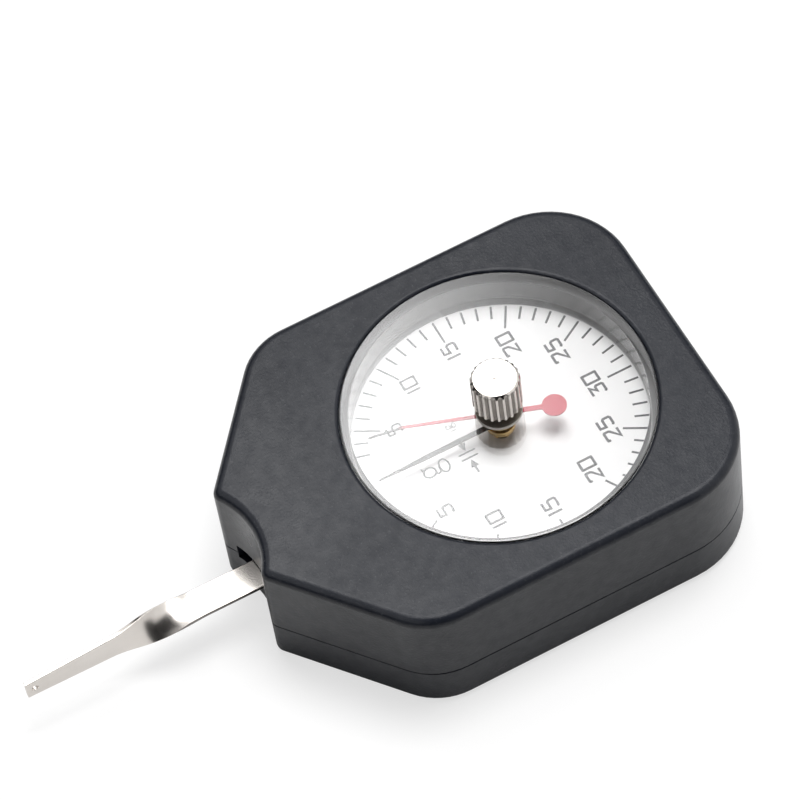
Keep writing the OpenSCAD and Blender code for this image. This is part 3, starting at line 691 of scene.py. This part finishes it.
dialPrint = {"top": 13.7, "thick": 0.015, "stroke": 0.31, "figureStroke": 0.37, "fineStroke": 0.16,
    "minorFrom": 18.0, "majorFrom": 16.36, "to": 20.05, "firstTick": 3, "lastTick": 30, "degrees": 6,
    "digitPitch": 2.1, "onePitch": 1.45, "unitAt": (-1.05, 10.5), "barsX": (-0.8, -1.7), "barsY": (4.5, 7.0),
    "shaftsX": ((0.7, 1.8), (-3.25, -4.35)), "arrowsX": (0.33, -2.88), "arrowY": 5.76, "arrowRadius": 0.88,
    "arrowSquash": 0.8, "fineOne": (3.2, 5.67, 0.45), "fineUnit": (4.0, 5.7, 0.37)}  # fine marks: place and size
digitStrokes = {
    "0": [[(-0.7, -1.0), (0.7, -1.0), (0.72, -0.95), (0.72, 0.95), (0.7, 1.0), (-0.7, 1.0), (-0.72, 0.95),
        (-0.72, -0.95), (-0.7, -1.0)]],
    "1": [[(0, -1.05), (0, 1.05)]],
    "2": [[(-0.68, 0.62), (-0.68, 0.95), (-0.6, 1.0), (0.6, 1.0), (0.7, 0.9), (0.7, 0.3), (0.6, 0.12),
        (-0.68, -0.98), (0.74, -0.98)]],
    "3": [[(-0.7, 1.0), (0.68, 1.0), (-0.1, 0.16), (0.5, 0.16), (0.7, -0.04), (0.7, -0.82), (0.52, -1.0),
        (-0.5, -1.0), (-0.7, -0.82)]],
    "5": [[(0.68, 1.0), (-0.58, 1.0), (-0.66, 0.16), (0.5, 0.16), (0.7, -0.04), (0.7, -0.82), (0.52, -1.0),
        (-0.5, -1.0), (-0.7, -0.82)]],
}
numerals = [("5", 7.4, 12.5), ("10", 12.35, 7.3), ("15", 14.4, 0), ("20", 11.65, -7.3), ("25", 7.3, -12.5),
    ("30", 0, -14.3)]  # each stands on both sides of the dial, the last once


def arcStroke(x, y, rx, ry, start, end, count):
    angles = [math.radians(start + (end - start) * i / count) for i in range(count + 1)]
    return [(x + rx * math.cos(angle), y + ry * math.sin(angle)) for angle in angles]


unitLetter = [  # bowl, ear, neck and lower loop of the unit's letter
    arcStroke(-0.05, 1.0, 0.78, 0.86, 0, 360, 28),
    [(0.5, 1.62), (0.78, 1.8), (1.08, 1.82)],
    [(-0.5, 0.33), (-0.78, 0.05), (-0.74, -0.25), (-0.4, -0.45), (0.3, -0.52)],
    arcStroke(0.0, -1.2, 1.05, 0.68, 75, 435, 30),
]


def placed(strokes, x, y, size=1.0):
    return [[(px * size + x, py * size + y) for px, py in stroke] for stroke in strokes]


def layStrokes(name, strokes, width, top, thick):
    # flat ribbons with mitred corners, drawn up by the thickness of the print
    points, faces = [], []
    for stroke in strokes:
        path = [Vector(p) for p in stroke]
        closed = (path[0] - path[-1]).length < 1e-6
        if closed:
            path.pop()
        count = len(path)
        base = len(points)
        for i, here in enumerate(path):
            ways = []
            if closed or i:
                ways.append((here - path[i - 1]).normalized())
            if closed or i < count - 1:
                ways.append((path[(i + 1) % count] - here).normalized())
            sides = [Vector((-w.y, w.x)) for w in ways]
            mitre = sum(sides, Vector((0, 0))).normalized()
            reach = width / 2 / max(mitre.dot(sides[0]), 0.5)
            points += [(*(here + mitre * reach), top), (*(here - mitre * reach), top)]
        for i in range(count if closed else count - 1):
            a, b = base + 2 * i, base + 2 * ((i + 1) % count)
            faces.append((a, a + 1, b + 1, b))
    mesh = bpy.data.meshes.new(name)
    mesh.from_pydata(points, [], faces)
    piece = bpy.data.objects.new(name, mesh)
    bpy.context.scene.collection.objects.link(piece)
    drawUp(piece, thick)
    return piece


def makeDialPrint(d):
    ticks = []
    for n in range(d["firstTick"], d["lastTick"] + 1):
        inner = d["minorFrom"] if n % 5 else d["majorFrom"]
        angle = math.radians(n * d["degrees"])
        for side in ((1, -1) if n < d["lastTick"] else (1,)):
            way = Vector((side * math.sin(angle), math.cos(angle)))
            ticks.append([tuple(way * inner), tuple(way * d["to"])])
    figures = []
    for text, x, y in numerals:
        pitch = d["onePitch"] if text[0] == "1" else d["digitPitch"]
        for side in ((1, -1) if x else (1,)):
            for i, digit in enumerate(text):
                figures += placed(digitStrokes[digit], side * x + (i - (len(text) - 1) / 2) * pitch, y)
    marks = placed(unitLetter, *d["unitAt"])
    marks += [[(x, y) for y in d["barsY"]] for x in d["barsX"]]
    marks += [[(x, d["arrowY"]) for x in ends] for ends in d["shaftsX"]]
    fineMarks = placed(digitStrokes["1"], *d["fineOne"]) + placed(unitLetter, *d["fineUnit"])
    for name, strokes, width in (("dialTicks", ticks, d["stroke"]), ("dialFigures", figures, d["figureStroke"]),
            ("dialMarks", marks, d["stroke"]), ("dialFineMarks", fineMarks, d["fineStroke"])):
        piece = layStrokes(name, strokes, width, d["top"], d["thick"])
        finishPiece(piece, finishes["ink"], "case", "pointer_black")


def makeArrowHeads(d):
    # two solid arrow heads that point at the division mark
    for name, x, side in zip(("markArrowRight", "markArrowLeft"), d["arrowsX"], (1, -1)):
        startClean()
        middle = (x, d["arrowY"], d["top"])
        bpy.ops.mesh.primitive_circle_add(vertices=3, radius=d["arrowRadius"], fill_type="NGON", location=middle,
            rotation=(0, 0, side * math.pi / 2))
        piece = bpy.context.object
        piece.name = name
        editAll(piece)
        bpy.ops.transform.resize(value=(1, d["arrowSquash"], 1), center_override=middle)
        leaveEdit()
        drawUp(piece, d["thick"])
        finishPiece(piece, finishes["ink"], "case", "pointer_black")


makeDialPrint(dialPrint)
makeArrowHeads(dialPrint)


# CAD nodes that show as they are

carried = {
    "dial": ["dial_plate"],
    "black": ["black_pointer"],
    "red": ["red_pointer"],
    "brass": ["main_plate", "rear_plate", "lever_bushes", "arbor_bushes", "lever_hub", "clamp_plate", "sector_gear",
        "hairspring_collet", "hairspring_stud"],
    "steel": ["pillars", "stop_pins", "spring_post", "spring_pin", "measuring_spring", "hairspring", "lever_arbor",
        "pinion_arbor", "friction_washer", "cover_screws", "plate_screws", "pillar_screws", "clamp_screws"],
}
for finishName, names in carried.items():
    for nodeName in names:
        nodes[nodeName].data.materials.clear()
        nodes[nodeName].data.materials.append(finishes[finishName])
print("CAD nodes finished")


# studio: pale floor, soft overhead lamp, graded softbox, dark cards at the horizon

studio = {"floorSize": 4.0, "floorDrop": 0.00005, "floorTint": 0.8, "floorSeen": 0.34, "floorLift": 0.68,
    "glossLift": 0.07, "keyAt": (0.1, -0.26, 1.3), "keySize": 0.6, "keyPower": 15.0, "keyCard": 1.15,
    "keyGlow": 4.4, "boxAt": (0.406, -0.203, 0.9148), "boxSize": (0.38, 0.8), "boxPower": (0.8, 6.9, 4.6),
    "boxRise": (-0.045, 0.03), "boxFall": (0.085, 0.115), "cardTint": (0.02, 0.02, 0.021), "cardReach": 0.9,
    "cardHigh": 0.4, "cardSides": 72, "gap": (205, 285), "screenTurn": 167, "screenHalf": 0.42,
    "screenEdge": 0.001, "screenPath": ((0.86, 0.02), (0.86, 0.45), (0.62, 0.86), (0.24, 1.1)), "ambient": 0.25}


def stageMaterial(name):
    finish = bpy.data.materials.new(name)
    finish.use_nodes = True
    tree = finish.node_tree
    tree.nodes.remove(tree.nodes["Principled BSDF"])
    return finish, tree, tree.nodes["Material Output"].inputs["Surface"]


def addGlow(tree, strength, surface):
    glow = tree.nodes.new("ShaderNodeEmission")
    feed(tree, strength, glow.inputs["Strength"])
    tree.links.new(glow.outputs["Emission"], surface)


def viewRays(tree, first, *others):
    # 1 for rays of these kinds, until they meet a matt surface
    rays = tree.nodes.new("ShaderNodeLightPath").outputs
    kind = rays[first]
    for name in others:
        kind = maths(tree, "MAXIMUM", kind, rays[name])
    fresh = maths(tree, "SUBTRACT", kind, rays["Diffuse Depth"])
    fresh.node.use_clamp = True
    return fresh


def makeFloor(s):
    # pale paper with the object's shadow; the camera sees it lighter than gloss does
    startClean()
    bpy.ops.mesh.primitive_plane_add(size=s["floorSize"], location=(0, 0, -s["floorDrop"]))
    floor = bpy.context.object
    floor.name = "studioFloor"
    finish, tree, surface = stageMaterial("palePaper")
    straight = viewRays(tree, "Is Camera Ray", "Is Transmission Ray")
    paper = tree.nodes.new("ShaderNodeBsdfDiffuse")
    spreadTo(tree, straight, (s["floorTint"], s["floorSeen"]), paper.inputs["Color"])
    seen = stretch(tree, straight, 0, 1, 0, s["floorLift"])
    mirrored = stretch(tree, viewRays(tree, "Is Glossy Ray"), 0, 1, 0, s["glossLift"])
    both = tree.nodes.new("ShaderNodeAddShader")
    tree.links.new(paper.outputs["BSDF"], both.inputs[0])
    addGlow(tree, maths(tree, "MAXIMUM", seen, mirrored), both.inputs[1])
    tree.links.new(both.outputs["Shader"], surface)
    floor.data.materials.append(finish)


def makeSoftbox(s):
    # glows along its length: dim, bright where the dial mirrors it, softer at the end
    startClean()
    away = Vector(s["boxAt"]).normalized()
    along = (Vector((0, 1, 0)) - away * away.y).normalized()
    turn = Matrix((along.cross(-away), along, -away)).transposed()
    bpy.ops.mesh.primitive_plane_add(size=1, location=s["boxAt"], rotation=turn.to_euler())
    box = bpy.context.object
    box.name = "studioSoftbox"
    box.data.transform(Matrix.Diagonal((*s["boxSize"], 1, 1)))
    finish, tree, surface = stageMaterial("softboxCloth")
    low, high, tail = s["boxPower"]
    length = splitPlace(tree)["Y"]
    rise = stretch(tree, length, *s["boxRise"], low, high)
    fall = stretch(tree, length, *s["boxFall"], high, tail)
    addGlow(tree, maths(tree, "MINIMUM", rise, fall), surface)
    box.data.materials.append(finish)
    box.visible_camera = False


def makeDarkCloth(tint):
    finish, tree, surface = stageMaterial("darkCard")
    cloth = tree.nodes.new("ShaderNodeBsdfDiffuse")
    cloth.inputs["Color"].default_value = (*tint, 1)
    tree.links.new(cloth.outputs["BSDF"], surface)
    return finish


def makeCards(s):
    # low dark wall, open on one side, and a dark screen behind and over the camera
    cloth = makeDarkCloth(s["cardTint"])
    startClean()
    bpy.ops.mesh.primitive_cylinder_add(vertices=s["cardSides"], radius=s["cardReach"], depth=s["cardHigh"],
        end_fill_type="NOTHING", location=(0, 0, s["cardHigh"] / 2))
    wall = bpy.context.object
    wall.name = "studioWall"
    bpy.ops.object.transform_apply(location=True, rotation=True, scale=True)
    gapFrom, gapTo = s["gap"]
    pickFaces(wall, lambda centre, normal: gapFrom < math.degrees(math.atan2(centre.y, centre.x)) % 360 < gapTo)
    bpy.ops.mesh.delete(type="FACE")
    leaveEdit()
    startClean()
    first = s["screenPath"][0]
    bpy.ops.mesh.primitive_plane_add(size=1, location=(first[0], 0, first[1]))
    screen = bpy.context.object
    screen.name = "studioScreen"
    screen.data.transform(Matrix.Diagonal((s["screenEdge"], 2 * s["screenHalf"], 1, 1)))
    bpy.ops.object.transform_apply(location=True, rotation=True, scale=True)
    pickEdges(screen, lambda a, b: min(a.x, b.x) > first[0])
    for (r0, z0), (r1, z1) in zip(s["screenPath"], s["screenPath"][1:]):
        bpy.ops.mesh.extrude_region_move(TRANSFORM_OT_translate={"value": (r1 - r0, 0, z1 - z0)})
    leaveEdit()
    screen.data.transform(Matrix.Rotation(math.radians(s["screenTurn"]), 4, "Z"))
    for card in (wall, screen):
        card.data.materials.append(cloth)
        card.visible_camera = False


def makeLamps(s):
    # a lamp for matt surfaces, and a wider, softer card in its place for gloss
    lamp = bpy.data.lights.new("overheadLamp", "AREA")
    lamp.shape = "DISK"
    lamp.size = s["keySize"]
    lamp.energy = s["keyPower"]
    holder = bpy.data.objects.new("overheadLamp", lamp)
    holder.location = s["keyAt"]
    holder.rotation_euler = (-Vector(s["keyAt"])).to_track_quat("-Z", "Y").to_euler()
    bpy.context.scene.collection.objects.link(holder)
    holder.visible_glossy = False
    startClean()
    bpy.ops.mesh.primitive_circle_add(vertices=64, radius=s["keyCard"] / 2, fill_type="NGON", location=s["keyAt"],
        rotation=holder.rotation_euler)
    card = bpy.context.object
    card.name = "studioKeyCard"
    finish, tree, surface = stageMaterial("keyCloth")
    addGlow(tree, s["keyGlow"], surface)
    card.data.materials.append(finish)
    card.visible_camera = card.visible_diffuse = card.visible_shadow = False


def makeWorld(s):
    # white to the camera and to gloss, dim for matt surfaces
    world = bpy.data.worlds.new("studioAir")
    bpy.context.scene.world = world
    world.use_nodes = True
    tree = world.node_tree
    back = tree.nodes["Background"]
    back.inputs["Color"].default_value = (1, 1, 1, 1)
    seen = viewRays(tree, "Is Camera Ray", "Is Glossy Ray", "Is Transmission Ray")
    spreadTo(tree, seen, (s["ambient"], 1.0), back.inputs["Strength"])


makeFloor(studio)
makeSoftbox(studio)
makeCards(studio)
makeLamps(studio)
makeWorld(studio)
print("studio set")


# camera, as the photograph was taken

view = {"at": (-0.299174, 0.12087, 0.521243), "turn": (32.69373, 5.09239, -117.59185), "lens": 200.565,
    "sensor": 36, "near": 0.01}
camera = bpy.data.objects.new("frontCamera", bpy.data.cameras.new("frontCamera"))
camera.data.sensor_width = view["sensor"]
camera.data.lens = view["lens"]
camera.data.clip_start = view["near"]
camera.location = view["at"]
camera.rotation_euler = [math.radians(a) for a in view["turn"]]
bpy.context.scene.collection.objects.link(camera)
bpy.context.scene.camera = camera
bpy.context.scene.view_settings.view_transform = "Standard"
print("camera set")
